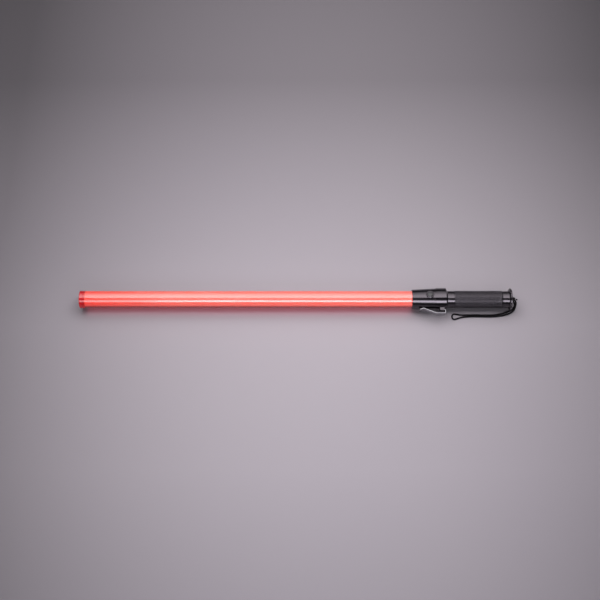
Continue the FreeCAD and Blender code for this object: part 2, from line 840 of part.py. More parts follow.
def build_tail_cap():
    """The screw cap: hollow plug with a two-start thread, finger flange, recess with the strap bar."""
    wall_x = plug_x + 10.2
    eye_floor = tail_x - d.eye_depth
    groove_x = mouth_x - 1.8
    groove_floor = d.socket_radius - 1.3
    cap = turned(
        "cap_turned",
        [
            (plug_x, d.plug_bore),
            (wall_x, d.plug_bore),
            (wall_x, 0),
            (eye_floor, 0),
            (eye_floor, d.eye_radius),
            (tail_x, d.eye_radius),
            (tail_x, d.flange_radius - 1.6),
            (tail_x - 1.4, d.flange_radius),
            (tail_x - 3.4, d.flange_radius),
            (flange_x + 0.3, d.flange_radius - 2.3),
            (flange_x, d.rear_radius),
            (mouth_x, d.rear_radius),
            (mouth_x, groove_floor),
            (groove_x, groove_floor),
            (groove_x, d.plug_radius),
            (plug_x, d.plug_radius),
        ],
    )
    bar_x = tail_x - 4.5
    bar = rod("strap_bar", d.bar_radius, 2 * d.eye_radius + 2, bar_x, 0, -d.eye_radius - 1)
    root = d.plug_radius.value
    ridges = [
        from_shape(
            f"cap_ridge_{n}",
            thread_ridge(root, root + d.thread_height.value, male_thread_x(), 6.6, 360 / THREAD_STARTS * n),
        )
        for n in range(THREAD_STARTS)
    ]
    flutes = []
    flute_count, flute_radius = 16, 2.2
    centre = (d.flange_radius + flute_radius).value - 0.7
    for number in range(flute_count):
        angle = math.radians(360 / flute_count * (number + 0.5))
        flutes.append(
            rod(
                f"flange_flute_{number}",
                flute_radius,
                d.flange_length + 2,
                flange_x,
                centre * math.cos(angle),
                centre * math.sin(angle),
                along="X",
            )
        )
    keep(without("tail_cap", fused("cap_body", [cap, bar, *ridges]), flutes))
    keep(o_ring("tail_seal", d.socket_radius - 0.7, 0.58, groove_x + 0.8))
    return wall_x, bar_x


def build_tail_contact(wall_x):
    """A brass cup that stays still while the cap turns round it, and the conical spring in it."""
    outer, skin = d.plug_bore - RUNNING, 0.4
    floor = wall_x - RUNNING
    rim_x = plug_x - 0.6
    keep(
        turned(
            "tail_contact",
            [
                (floor - 0.8, 0),
                (floor, 0),
                (floor, outer),
                (rim_x + 0.4, outer),
                (rim_x + 0.4, d.plug_bore + 1.2),
                (rim_x, d.plug_bore + 1.2),
                (rim_x, outer - skin),
                (floor - 0.8, outer - skin),
            ],
        )
    )
    wire, small, large = 0.6, 4.5, 10
    start = cell_end_x.value + wire + 0.1
    height = floor.value - 0.8 - wire - 0.05 - start
    cone_angle = math.degrees(math.atan2(large - small, height))
    helix = Part.makeHelix(height / 4.5, height, small, cone_angle)
    path = Part.Wire(helix.Edges)
    section = Part.Wire(Part.makeCircle(wire, V(small, 0, 0), V(0, 1, 0)))
    coil = path.makePipeShell([section], True, True)
    coil.rotate(V(0, 0, 0), V(0, 1, 0), 90)
    coil.translate(V(start, 0, 0))
    keep(from_shape("tail_spring", coil))


# ---------------------------------------------------------------- wrist strap

# The strap's route: out of the knot, down to the surface that the baton lies on, along the grip,
# round the end of the loop and back. Heights are from the baton's axis.
STRAP_FLOOR = -21.95
STRAP_ROUTE = [
    (77.85, -0.92, -3.44),
    (80.2, -2.2, -6.8),
    (80.6, -5.4, -11.9),
    (79.6, -10.4, -17.2),
    (75.6, -16.4, -20.9),
    (67.0, -21.8, STRAP_FLOOR),
    (53.5, -26.1, STRAP_FLOOR),
    (37.0, -28.6, STRAP_FLOOR),
    (20.0, -29.0, STRAP_FLOOR),
    (-2.0, -28.2, STRAP_FLOOR),
    (-22.0, -28.7, STRAP_FLOOR),
    (-35.0, -30.4, STRAP_FLOOR),
    (-43.0, -33.8, STRAP_FLOOR),
    (-48.6, -35.4, STRAP_FLOOR),
    (-52.4, -32.2, STRAP_FLOOR),
    (-52.4, -25.8, STRAP_FLOOR),
    (-48.8, -22.4, STRAP_FLOOR),
    (-43.0, -23.4, STRAP_FLOOR),
    (-35.0, -24.9, STRAP_FLOOR),
    (-22.0, -25.1, STRAP_FLOOR),
    (-1.5, -24.6, STRAP_FLOOR),
    (19.5, -25.4, STRAP_FLOOR),
    (36.0, -25.0, STRAP_FLOOR),
    (51.5, -22.0, STRAP_FLOOR),
    (64.5, -17.3, STRAP_FLOOR),
    (73.0, -13.2, -21.7),
    (77.8, -8.4, -19.7),
    (78.6, -3.9, -15.0),
    (76.5, -2.5, -9.2),
    (74.57, -1.75, -4.98),
]


def build_strap(bar_x):
    radius = d.cord_radius.value
    route, radii = rounded_path(STRAP_ROUTE)
    print("strap radii", [round(r, 1) for r in radii], "length", round(route.Length, 1))
    keep(from_shape("strap_loop", swept_tube(route, radius)))

    knot_offset = 5
    knot_x = tail_x.value + knot_offset
    knot = doc.addObject("Part::Sphere", "strap_knot")
    bind(knot, "Radius", d.knot_radius)
    place(knot, tail_x + knot_offset)
    keep(knot)

    bar = bar_x.value
    turn = d.bar_radius.value + radius + FIT
    start, end = V(knot_x - 2, 2, 0), V(knot_x - 2, -2, 0)
    near, far = V(bar, turn, 0), V(bar, -turn, 0)
    run_in = Part.LineSegment(start, near).toShape()
    round_bar = Part.Arc(near, V(bar - turn, 0, 0), far).toShape()
    run_out = Part.LineSegment(far, end).toShape()
    tubes = [Part.Wire([edge]) for edge in (run_in, round_bar, run_out)]
    pieces = [swept_tube(wire, radius) for wire in tubes]
    joints = [Part.makeSphere(radius, point) for point in (near, far)]
    doc.recompute()
    bight = pieces[0].multiFuse([*pieces[1:], *joints]).removeSplitter()
    keep(from_shape("strap_anchor", bight.cut(knot.Shape)))

    ends = []
    gap = 0.25
    for heading, length in (((0.95, 0.1, 0.3), 3), ((-0.1, -0.92, 0.38), 2)):
        direction = V(*heading).normalize()
        foot = V(knot_x, 0, 0) + direction * (d.knot_radius.value + gap)
        ends.append(Part.makeCylinder(radius, length, foot, direction))
    keep(from_shape("strap_ends", Part.makeCompound(ends)))


# ---------------------------------------------------------------- assembly

build_light_tube()
build_tip_cap()
build_light_board()
build_lead_wires()
build_cone_housing()
build_switch()
screws = build_driver()
carrier_end = build_carrier(screws)
clip_boss_end = build_joint_ring()
build_belt_clip(clip_boss_end)
build_barrel(carrier_end)
build_cells()
cap_wall_x, strap_bar_x = build_tail_cap()
build_tail_contact(cap_wall_x)
build_strap(strap_bar_x)
doc.recompute()

failed = [o.Name for o in doc.Objects if "Invalid" in o.State or "Error" in o.State]
assert not failed, f"objects that did not compute: {failed}"
os.makedirs("parts", exist_ok=True)
for label, thing in sub_parts.items():
    shape = thing.Shape
    assert not shape.isNull() and shape.isValid(), f"{label} has a bad shape"
    assert shape.Solids and shape.Volume > 0, f"{label} has no solid"
for label, thing in sub_parts.items():
    thing.Shape.exportStep(f"parts/{label}.step")
print(len(sub_parts), "sub-parts written")
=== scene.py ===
"""Looks for the traffic baton light: materials, detailed pieces, light and camera.

The baton lies along X with its tip towards -X. Lengths are in metres unless a name says otherwise.
"""

import json
import math

import bpy
import numpy as np
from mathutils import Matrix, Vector


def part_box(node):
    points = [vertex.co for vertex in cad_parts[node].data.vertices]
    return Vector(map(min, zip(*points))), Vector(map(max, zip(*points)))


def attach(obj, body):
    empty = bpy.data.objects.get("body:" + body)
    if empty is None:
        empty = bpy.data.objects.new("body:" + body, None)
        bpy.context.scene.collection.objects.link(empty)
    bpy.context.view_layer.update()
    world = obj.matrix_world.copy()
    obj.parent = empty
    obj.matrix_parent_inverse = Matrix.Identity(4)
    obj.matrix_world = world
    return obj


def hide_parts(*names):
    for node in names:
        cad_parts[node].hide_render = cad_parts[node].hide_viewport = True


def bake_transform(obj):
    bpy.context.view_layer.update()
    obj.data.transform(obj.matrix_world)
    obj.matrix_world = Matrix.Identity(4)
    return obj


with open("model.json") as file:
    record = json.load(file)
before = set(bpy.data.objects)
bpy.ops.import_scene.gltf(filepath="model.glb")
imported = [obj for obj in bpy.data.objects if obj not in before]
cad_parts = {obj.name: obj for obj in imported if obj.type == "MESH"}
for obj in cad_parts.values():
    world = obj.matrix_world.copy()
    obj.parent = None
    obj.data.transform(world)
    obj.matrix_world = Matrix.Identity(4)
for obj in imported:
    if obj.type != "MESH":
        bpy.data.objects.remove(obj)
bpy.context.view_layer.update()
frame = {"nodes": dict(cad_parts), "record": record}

MM = 0.001
FLOOR_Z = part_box("joint_ring")[0].z

# ---------------------------------------------------------------- camera

CAMERA_ELEVATION = math.radians(62)
CAMERA_DISTANCE = 2.2
CAMERA_LENS = 63.75  # mm
CAMERA_SENSOR = 36  # mm
# The middle of the view, measured from the middle of the baton's axis.
VIEW_MIDDLE = (0.0091, -0.0009, -0.0005)


def make_camera():
    """A camera that looks down across the baton from the clip's side."""
    low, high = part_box("tip_cap")[0].x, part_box("tail_cap")[1].x
    target = Vector(((low + high) / 2, 0, 0)) + Vector(VIEW_MIDDLE)
    back = Vector((0, -math.cos(CAMERA_ELEVATION), math.sin(CAMERA_ELEVATION)))
    camera = bpy.data.objects.new("camera", bpy.data.cameras.new("camera"))
    camera.data.sensor_width = CAMERA_SENSOR
    camera.data.lens = CAMERA_LENS
    camera.location = target + back * CAMERA_DISTANCE
    camera.rotation_mode = "QUATERNION"
    camera.rotation_quaternion = (-back).to_track_quat("-Z", "Y")
    bpy.context.collection.objects.link(camera)
    bpy.context.scene.camera = camera
    return target


# ---------------------------------------------------------------- material kit


class Material:
    """A node material whose detail is read in the object's own space."""

    def __init__(self, name, roughness=0.5, metallic=0.0):
        self.material = bpy.data.materials.new(name)
        self.material.use_nodes = True
        self.nodes = self.material.node_tree.nodes
        self.links = self.material.node_tree.links
        self.shader = self.nodes["Principled BSDF"]
        self.place = self.nodes.new("ShaderNodeTexCoord").outputs["Object"]
        self.set(Roughness=roughness, Metallic=metallic)

    def set(self, **sockets):
        """Sets sockets of the shader that are the same all over."""
        for label, value in sockets.items():
            self.shader.inputs[label.replace("_", " ")].default_value = value

    def link(self, source, target):
        self.links.new(source, target)

    def stretched(self, scale):
        """The object's space scaled by a vector, for detail that runs one way."""
        mapping = self.nodes.new("ShaderNodeMapping")
        mapping.inputs["Scale"].default_value = scale
        self.link(self.place, mapping.inputs["Vector"])
        return mapping.outputs["Vector"]

    def noise(self, scale, detail=3.0, stretch=None, distortion=0.0):
        """Noise with this many features per metre."""
        node = self.nodes.new("ShaderNodeTexNoise")
        node.inputs["Scale"].default_value = scale
        node.inputs["Detail"].default_value = detail
        node.inputs["Distortion"].default_value = distortion
        self.link(self.stretched(stretch) if stretch else self.place, node.inputs["Vector"])
        return node.outputs["Fac"]

    def cells(self, scale):
        """Distance to the nearest point of a scatter with this many points per metre."""
        node = self.nodes.new("ShaderNodeTexVoronoi")
        node.inputs["Scale"].default_value = scale
        self.link(self.place, node.inputs["Vector"])
        return node.outputs["Distance"]

    def ramp(self, value, low, high, out_low=0.0, out_high=1.0):
        """A value brought from low..high to out_low..out_high and held there."""
        node = self.nodes.new("ShaderNodeMapRange")
        node.inputs["From Min"].default_value = low
        node.inputs["From Max"].default_value = high
        node.inputs["To Min"].default_value = out_low
        node.inputs["To Max"].default_value = out_high
        self.link(value, node.inputs["Value"])
        return node.outputs["Result"]

    def mix(self, factor, first, second):
        """A colour between two colours, each a triple or a socket."""
        node = self.nodes.new("ShaderNodeMix")
        node.data_type = "RGBA"
        self.link(factor, node.inputs["Factor"])
        for socket, colour in ((node.inputs[6], first), (node.inputs[7], second)):
            if isinstance(colour, tuple):
                socket.default_value = (*colour, 1)
            else:
                self.link(colour, socket)
        return node.outputs[2]

    def axis(self, name):
        """One coordinate of the object's space."""
        split = self.nodes.new("ShaderNodeSeparateXYZ")
        self.link(self.place, split.inputs["Vector"])
        return split.outputs[name]

    def compute(self, operation, first, second):
        """A math node on a socket and a second value, which is a number or a socket."""
        node = self.nodes.new("ShaderNodeMath")
        node.operation = operation
        self.link(first, node.inputs[0])
        if isinstance(second, float):
            node.inputs[1].default_value = second
        else:
            self.link(second, node.inputs[1])
        return node.outputs[0]

    def between(self, start, end, blur=0.4 * MM):
        """1 from start to end along X, and 0 elsewhere."""
        after_start = self.ramp(self.axis("X"), start - blur, start + blur)
        before_end = self.ramp(self.axis("X"), end - blur, end + blur, 1.0, 0.0)
        return self.compute("MULTIPLY", after_start, before_end)

    def colour(self, value):
        self.link(value, self.shader.inputs["Base Color"])

    def roughness(self, value):
        self.link(value, self.shader.inputs["Roughness"])

    def bump(self, *layers):
        """Bump from (value, height in metres) layers, one over another."""
        normal = None
        for value, height in layers:
            node = self.nodes.new("ShaderNodeBump")
            node.inputs["Strength"].default_value = 1
            node.inputs["Distance"].default_value = height
            self.link(value, node.inputs["Height"])
            if normal:
                self.link(normal, node.inputs["Normal"])
            normal = node.outputs["Normal"]
        self.link(normal, self.shader.inputs["Normal"])
        return self


# ---------------------------------------------------------------- materials


def red_tube_plastic():
    """Milky red extruded plastic with drawn streaks and fine scratches.

    Its colour is painted shade in two places: a deeper red towards the tip and a dark red below the
    middle, where the tube looks darker. Neither is the plastic's own colour.
    """
    m = Material("red_tube_plastic", roughness=0.16)
    m.set(Subsurface_Weight=0.4, Subsurface_Radius=(1.0, 0.25, 0.2), Subsurface_Scale=0.004)
    m.set(IOR=1.5, Coat_Weight=0.9, Coat_Roughness=0.1)
    drawn = m.noise(260, 3, stretch=(0.02, 1, 1))
    cloud = m.noise(9, 2)
    streaked = m.mix(m.ramp(drawn, 0.35, 0.65), (0.86, 0.200, 0.165), (0.84, 0.188, 0.155))
    clouded = m.mix(m.ramp(cloud, 0.3, 0.75), streaked, (0.87, 0.200, 0.170))
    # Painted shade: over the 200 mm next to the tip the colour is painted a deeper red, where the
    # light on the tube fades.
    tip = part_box("light_tube")[0].x
    painted_tip_shade = m.ramp(m.axis("X"), tip, tip + 200 * MM, 1.0, 0.0)
    body = m.mix(painted_tip_shade, clouded, (0.84, 0.090, 0.070))
    # Painted shade: below 1.5 to 6.5 mm over the axis the colour is painted dark red, the shade on
    # the tube's underside.
    painted_underside_shade = m.ramp(m.axis("Z"), 1.5 * MM, 6.5 * MM, 1.0, 0.0)
    m.colour(m.mix(painted_underside_shade, body, (0.22, 0.006, 0.008)))
    m.roughness(m.ramp(drawn, 0.35, 0.65, 0.13, 0.15))
    scratch = m.noise(900, 2, stretch=(0.06, 1, 1), distortion=0.6)
    return m.bump((scratch, 0.0006 * MM)).material


def red_cap_plastic():
    """Deep red plastic, darker than the tube and glossy."""
    m = Material("red_cap_plastic", roughness=0.08)
    m.set(IOR=1.5, Coat_Weight=0.5, Coat_Roughness=0.06)
    m.colour(m.mix(m.ramp(m.noise(60, 3), 0.3, 0.7), (0.45, 0.010, 0.015), (0.37, 0.007, 0.011)))
    smear = m.noise(300, 3)
    m.roughness(m.ramp(smear, 0.4, 0.75, 0.05, 0.16))
    return m.bump((smear, 0.01 * MM)).material


def moulded_black(name, tint, gloss, polished=None):
    """Injection-moulded black plastic: a faint orange peel, fine scratches and a little dust.

    polished is the stretch of the baton, as (start, end) along X, whose mould was polished.
    """
    m = Material(name, roughness=gloss)
    m.set(IOR=1.62, Specular_Tint=(0.98, 0.90, 1.0, 1))
    dust = m.ramp(m.cells(420), 0.02, 0.06, 1.0, 0.0)
    cloud = m.ramp(m.noise(35, 4), 0.35, 0.7)
    worn = tuple(channel * 1.6 + 0.001 for channel in tint)
    body = m.mix(cloud, tint, worn)
    m.colour(m.mix(m.ramp(dust, 0.0, 1.0, 0.0, 0.2), body, (0.12, 0.115, 0.11)))
    scratch = m.ramp(m.noise(700, 2, stretch=(0.12, 1, 1), distortion=0.8), 0.42, 0.74)
    rough = m.ramp(scratch, 0, 1, gloss * 0.85, gloss * 1.5)
    if polished:
        finish = m.ramp(m.between(*polished), 0, 1, 1.0, 0.55)
        rough = m.compute("MULTIPLY", rough, finish)
    m.roughness(rough)
    peel = m.noise(520, 2)
    return m.bump((peel, 0.006 * MM), (scratch, 0.004 * MM)).material


def grip_rubber():
    """Soft moulded rubber, dull, with lighter rubbed tops and skin oil in patches."""
    m = Material("grip_rubber", roughness=0.34)
    m.set(IOR=1.47, Specular_Tint=(0.98, 0.90, 1.0, 1))
    rubbed = m.ramp(m.noise(55, 4), 0.35, 0.7)
    m.colour(m.mix(rubbed, (0.006, 0.0055, 0.007), (0.013, 0.012, 0.015)))
    oily = m.noise(120, 3)
    m.roughness(m.ramp(oily, 0.3, 0.7, 0.18, 0.27))
    return m.bump((m.noise(2600, 2), 0.012 * MM)).material


def button_rubber():
    """Soft dark grey rubber with a fine moulded grain."""
    m = Material("button_rubber", roughness=0.42)
    m.set(IOR=1.5)
    m.colour(m.mix(m.ramp(m.noise(300, 3), 0.3, 0.7), (0.020, 0.020, 0.023), (0.034, 0.033, 0.037)))
    m.roughness(m.ramp(m.noise(500, 3), 0.35, 0.7, 0.34, 0.5))
    return m.bump((m.noise(3800, 2), 0.02 * MM)).material


def seal_rubber():
    """Dull black rubber of the seals."""
    m = Material("seal_rubber", roughness=0.6)
    m.colour(m.mix(m.ramp(m.noise(400, 2), 0.3, 0.7), (0.010, 0.010, 0.010), (0.022, 0.021, 0.020)))
    m.roughness(m.ramp(m.noise(700, 2), 0.3, 0.7, 0.5, 0.7))
    return m.bump((m.noise(2500, 2), 0.02 * MM)).material


def spring_steel():
    """Rolled spring steel: fine rolling lines, and a brown tint in patches."""
    m = Material("spring_steel", roughness=0.18, metallic=1.0)
    rolled = m.noise(1600, 2, stretch=(0.03, 1, 1))
    patch = m.ramp(m.noise(130, 4), 0.45, 0.75, 0.0, 0.55)
    bright = m.mix(m.ramp(rolled, 0.3, 0.7), (0.36, 0.36, 0.38), (0.27, 0.27, 0.29))
    m.colour(m.mix(patch, bright, (0.22, 0.20, 0.19)))
    m.roughness(m.ramp(rolled, 0.3, 0.7, 0.14, 0.24))
    return m.bump((rolled, 0.008 * MM)).material


def plated(name, bright, dull):
    """Nickel or brass plating with rubbed lines and a little tarnish."""
    m = Material(name, roughness=0.28, metallic=1.0)
    m.colour(m.mix(m.ramp(m.noise(180, 4), 0.4, 0.75), bright, dull))
    m.roughness(m.ramp(m.noise(900, 2, stretch=(0.2, 1, 1)), 0.3, 0.7, 0.18, 0.4))
    return m.bump((m.noise(1500, 2), 0.006 * MM)).material


def diffuser_plastic():
    """Milky pale plastic that spreads the light."""
    m = Material("diffuser_plastic", roughness=0.45)
    m.set(Subsurface_Weight=0.6, Subsurface_Radius=(1.0, 0.8, 0.75), Subsurface_Scale=0.003)
    m.colour(m.mix(m.ramp(m.noise(40, 3), 0.3, 0.7), (0.88, 0.80, 0.78), (0.80, 0.72, 0.70)))
    return m.bump((m.noise(1400, 2), 0.03 * MM)).material


def circuit_board():
    """Green solder mask with lighter copper runs under it, and bare pads."""
    m = Material("circuit_board", roughness=0.35)
    runs = m.ramp(m.noise(420, 0, stretch=(0.15, 1, 1)), 0.47, 0.53)
    pads = m.ramp(m.cells(210), 0.1, 0.14, 1.0, 0.0)
    mask = m.mix(runs, (0.010, 0.085, 0.035), (0.020, 0.150, 0.060))
    m.colour(m.mix(pads, mask, (0.55, 0.52, 0.42)))
    m.roughness(m.ramp(m.noise(300, 2), 0.3, 0.7, 0.28, 0.45))
    return m.bump((runs, 0.03 * MM)).material


def light_chip():
    """Pale package of a light chip, with yellow spots of phosphor."""
    m = Material("light_chip", roughness=0.4)
    glow = m.ramp(m.cells(190), 0.1, 0.3)
    m.colour(m.mix(glow, (0.86, 0.66, 0.16), (0.88, 0.86, 0.80)))
    return m.bump((m.noise(2200, 2), 0.02 * MM)).material


def matte_plastic(name, first, second, roughness=0.5):
    """Dull plastic, mottled between two colours."""
    m = Material(name, roughness=roughness)
    m.colour(m.mix(m.ramp(m.noise(160, 4), 0.3, 0.7), first, second))
    m.roughness(m.ramp(m.noise(420, 3), 0.3, 0.7, roughness * 0.8, roughness * 1.2))
    return m.bump((m.noise(1800, 2), 0.02 * MM)).material


def cell_jacket():
    """A dry cell's printed sleeve: a dark body with a bright band towards its nub, scuffed."""
    m = Material("cell_jacket", roughness=0.32)
    m.set(Coat_Weight=0.4, Coat_Roughness=0.12)
    wear = m.ramp(m.noise(260, 4), 0.55, 0.8)
    along = m.compute("PINGPONG", m.axis("X"), 50 * MM)
    band = m.ramp(along, 34 * MM, 34.5 * MM)
    body = m.mix(band, (0.012, 0.020, 0.050), (0.62, 0.42, 0.10))
    m.colour(m.mix(wear, body, (0.30, 0.30, 0.31)))
    return m.bump((m.noise(900, 3), 0.01 * MM)).material


def cord_fibre():
    """Black polyester braid: dull, a little fuzzy, with single lighter threads."""
    m = Material("cord_fibre", roughness=0.78)
    m.set(Sheen_Weight=0.01, Sheen_Roughness=0.4, Sheen_Tint=(0.6, 0.6, 0.65, 1), IOR=1.22)
    threads = m.noise(3200, 2, stretch=(0.35, 1, 1))
    tone = m.mix(m.ramp(threads, 0.35, 0.7), (0.0012, 0.001, 0.0016), (0.004, 0.0035, 0.005))
    dust = m.ramp(m.noise(260, 4), 0.6, 0.85, 0.0, 0.12)
    m.colour(m.mix(dust, tone, (0.030, 0.028, 0.027)))
    m.roughness(m.ramp(threads, 0.3, 0.7, 0.68, 0.88))
    return m.bump((threads, 0.06 * MM)).material


RING_SPAN = [corner.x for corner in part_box("joint_ring")]

MATERIALS = {
    "red_tube": red_tube_plastic(),
    "red_cap": red_cap_plastic(),
    "diffuser": diffuser_plastic(),
    "seal_rubber": seal_rubber(),
    "board": circuit_board(),
    "led_white": light_chip(),
    "chip_black": matte_plastic("chip_black", (0.010, 0.010, 0.012), (0.028, 0.027, 0.027), 0.4),
    "spacer_white": matte_plastic("spacer_white", (0.78, 0.77, 0.75), (0.68, 0.67, 0.64)),
    "wire_red": matte_plastic("wire_red", (0.48, 0.010, 0.010), (0.36, 0.008, 0.008), 0.4),
    "wire_black": matte_plastic("wire_black", (0.010, 0.010, 0.011), (0.025, 0.024, 0.024), 0.4),
    "black_abs": moulded_black("black_abs", (0.0035, 0.003, 0.004), 0.15, RING_SPAN),
    "black_satin": moulded_black("black_satin", (0.010, 0.010, 0.011), 0.34),
    "button_rubber": button_rubber(),
    "switch_plastic": matte_plastic("switch_plastic", (0.05, 0.05, 0.055), (0.09, 0.09, 0.095)),
    "spring_steel": spring_steel(),
    "screw_steel": plated("screw_steel", (0.62, 0.62, 0.64), (0.42, 0.41, 0.41)),
    "contact_brass": plated("contact_brass", (0.78, 0.60, 0.26), (0.48, 0.34, 0.15)),
    "cell_jacket": cell_jacket(),
    "cell_steel": plated("cell_steel", (0.72, 0.72, 0.74), (0.52, 0.51, 0.50)),
    "grip_rubber": grip_rubber(),
    "strap_cord": cord_fibre(),
}


def finish_cad_nodes():
    """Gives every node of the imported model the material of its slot."""
    for part in frame["record"]["subparts"]:
        node = frame["nodes"][part["node"]]
        node.data.materials.clear()
        node.data.materials.append(MATERIALS[part["material_slot"]])


# ---------------------------------------------------------------- mesh kit

SHARP_EDGE = 35  # degrees: edges turned more than this stay sharp
TURNED_EDGE = 50  # the same for the turned pieces, whose small chamfers are smooth


def make_piece(name, vertices, faces, slot, body, *nodes, sharp=SHARP_EDGE):
    """A closed mesh piece with its slot's material, on a body, in place of CAD nodes.

    Without a body, it is attached to no body. With sharp None it is smooth all over.
    """
    mesh = bpy.data.meshes.new(name)
    mesh.from_pydata([tuple(v) for v in vertices], [], faces)
    mesh.validate()
    mesh.materials.append(MATERIALS[slot])
    piece = bpy.data.objects.new(name, mesh)
    bpy.context.collection.objects.link(piece)
    mesh.shade_smooth()
    if sharp:
        mesh.set_sharp_from_angle(angle=math.radians(sharp))
    if body:
        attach(piece, body)
    if nodes:
        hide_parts(*nodes)
    return piece


def ring_faces(rows, columns, close_rows):
    """Quads of a grid that closes round its columns, and round its rows if asked."""
    faces = []
    for row in range(rows if close_rows else rows - 1):
        after = (row + 1) % rows
        for column in range(columns):
            beside = (column + 1) % columns
            corners = (row * columns + column, row * columns + beside)
            faces.append((*corners, after * columns + beside, after * columns + column))
    return faces


def directions(points):
    """The direction of a line at each of its points."""
    before = [points[0], *points[:-1]]
    after = [*points[1:], points[-1]]
    return [(end - start).normalized() for start, end in zip(before, after)]


def tube_mesh(path, radius_at, around=20):
    """Vertices and faces of a closed tube along a path.

    radius_at(distance, angle) gives its radius.
    """
    points = [Vector(p) for p in path]
    count = len(points)
    tangents = directions(points)
    side = tangents[0].orthogonal().normalized()
    vertices, distance = [], 0.0
    for index, (point, tangent) in enumerate(zip(points, tangents)):
        if index:
            distance += (point - points[index - 1]).length
            side = (side - tangent * side.dot(tangent)).normalized()
        other = tangent.cross(side)
        for step in range(around):
            angle = 2 * math.pi * step / around
            radius = radius_at(distance, angle)
            vertices.append(point + (side * math.cos(angle) + other * math.sin(angle)) * radius)
    faces = ring_faces(count, around, close_rows=False)
    for end, ring in ((points[0], 0), (points[-1], count - 1)):
        middle = len(vertices)
        vertices.append(end)
        first = ring * around
        for step in range(around):
            a, b = first + step, first + (step + 1) % around
            faces.append((a, middle, b) if ring else (b, middle, a))
    return vertices, [tuple(reversed(face)) for face in faces]


# ---------------------------------------------------------------- wrist strap

CORD_RADIUS = 1.7 * MM
KNOT_MIDDLE = Vector((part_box("tail_cap")[1].x + 5 * MM, 0, 0))

# The strap's route, in millimetres: out of the knot, down to the floor, along the grip, round the
# end of the loop and back to the knot.
STRAP_FLOOR = -21.95
STRAP_ROUTE = [
    (77.85, -0.92, -3.44),
    (80.2, -2.2, -6.8),
    (80.6, -5.4, -11.9),
    (79.6, -10.4, -17.2),
    (75.6, -16.4, -20.9),
    (67.0, -21.8, STRAP_FLOOR),
    (53.5, -26.1, STRAP_FLOOR),
    (37.0, -28.6, STRAP_FLOOR),
    (20.0, -29.0, STRAP_FLOOR),
    (-2.0, -28.2, STRAP_FLOOR),
    (-22.0, -28.7, STRAP_FLOOR),
    (-35.0, -30.4, STRAP_FLOOR),
    (-43.0, -33.8, STRAP_FLOOR),
    (-48.6, -35.4, STRAP_FLOOR),
    (-52.4, -32.2, STRAP_FLOOR),
    (-52.4, -25.8, STRAP_FLOOR),
    (-48.8, -22.4, STRAP_FLOOR),
    (-43.0, -23.4, STRAP_FLOOR),
    (-35.0, -24.9, STRAP_FLOOR),
    (-22.0, -25.1, STRAP_FLOOR),
    (-1.5, -24.6, STRAP_FLOOR),
    (19.5, -25.4, STRAP_FLOOR),
    (36.0, -25.0, STRAP_FLOOR),
    (51.5, -22.0, STRAP_FLOOR),
    (64.5, -17.3, STRAP_FLOOR),
    (73.0, -13.2, -21.7),
    (77.8, -8.4, -19.7),
    (78.6, -3.9, -15.0),
    (76.5, -2.5, -9.2),
    (74.57, -1.75, -4.98),
]
NURBS_STEPS = 10  # points read between two control points


def nurbs_points(name, route):
    """Points along the smooth NURBS line that a route of control points gives."""
    curve = bpy.data.curves.new(name, "CURVE")
    curve.dimensions = "3D"
    spline = curve.splines.new("NURBS")
    spline.points.add(len(route) - 1)
    for point, place in zip(spline.points, route):
        point.co = (*place, 1)
    spline.order_u = 3
    spline.use_endpoint_u = True
    spline.resolution_u = NURBS_STEPS
    line = bpy.data.objects.new(name, curve)
    bpy.context.collection.objects.link(line)
    depsgraph = bpy.context.evaluated_depsgraph_get()
    mesh = bpy.data.meshes.new_from_object(line.evaluated_get(depsgraph))
    points = [v.co.copy() for v in mesh.vertices]
    bpy.data.meshes.remove(mesh)
    bpy.data.objects.remove(line)
    bpy.data.curves.remove(curve)
    return points


def evenly(points, step):
    """Points along a line at an even spacing."""
    places = np.array([tuple(p) for p in points])
    lengths = np.r_[0, np.cumsum(np.linalg.norm(np.diff(places, axis=0), axis=1))]
    count = max(2, round(lengths[-1] / step))
    marks = np.linspace(0, lengths[-1], count + 1)
    return np.stack([np.interp(marks, lengths, places[:, axis]) for axis in range(3)], axis=1)


BRAID_PITCH = 7 * MM  # length in which one braided strand goes once round the cord
BRAID_STRANDS = 4  # strands that wind each way
BRAID_DEPTH = 0.16 * MM
BRAID_STEP = 0.3 * MM


def braid_radius(radius):
    """The radius of a braided cord, where strands that wind both ways pass over each other."""

    def radius_at(distance, angle):
        turn = 2 * math.pi * distance / BRAID_PITCH
        one_way = BRAID_STRANDS * (angle + turn)
        other_way = BRAID_STRANDS * (angle - turn)
        over = 0.5 + 0.5 * math.sin((one_way + other_way) / 2) * math.sin((one_way - other_way) / 2)
        height = over * abs(math.cos(one_way / 2)) + (1 - over) * abs(math.cos(other_way / 2))
        return radius - BRAID_DEPTH * (1 - height)

    return radius_at


def braided(name, points, body, *nodes, radius=CORD_RADIUS):
    """A braided cord along points, on a body, in place of CAD nodes."""
    vertices, faces = tube_mesh(points, braid_radius(radius))
    return make_piece(name, vertices, faces, "strap_cord", body, *nodes, sharp=None)


KNOT_SPREAD = 0.92 * MM  # across the baton, where the trefoil reaches nearly three times this
KNOT_HEIGHT = 1.85 * MM  # along the baton
KNOT_CORD_RADIUS = 1.85 * MM
KNOT_STEPS = 150


def make_knot():
    """A tight stopper knot: the cord's centre line is a trefoil, pulled nearly round."""
    line = []
    for step in range(KNOT_STEPS + 1):
        t = 2 * math.pi * step / KNOT_STEPS
        across = math.sin(t) + 2 * math.sin(2 * t)
        up = math.cos(t) - 2 * math.cos(2 * t)
        place = (-math.sin(3 * t) * KNOT_HEIGHT, across * KNOT_SPREAD, up * KNOT_SPREAD)
        line.append(KNOT_MIDDLE + Vector(place))
    return braided("strap_knot_tied", line, "tail", "strap_knot", radius=KNOT_CORD_RADIUS)


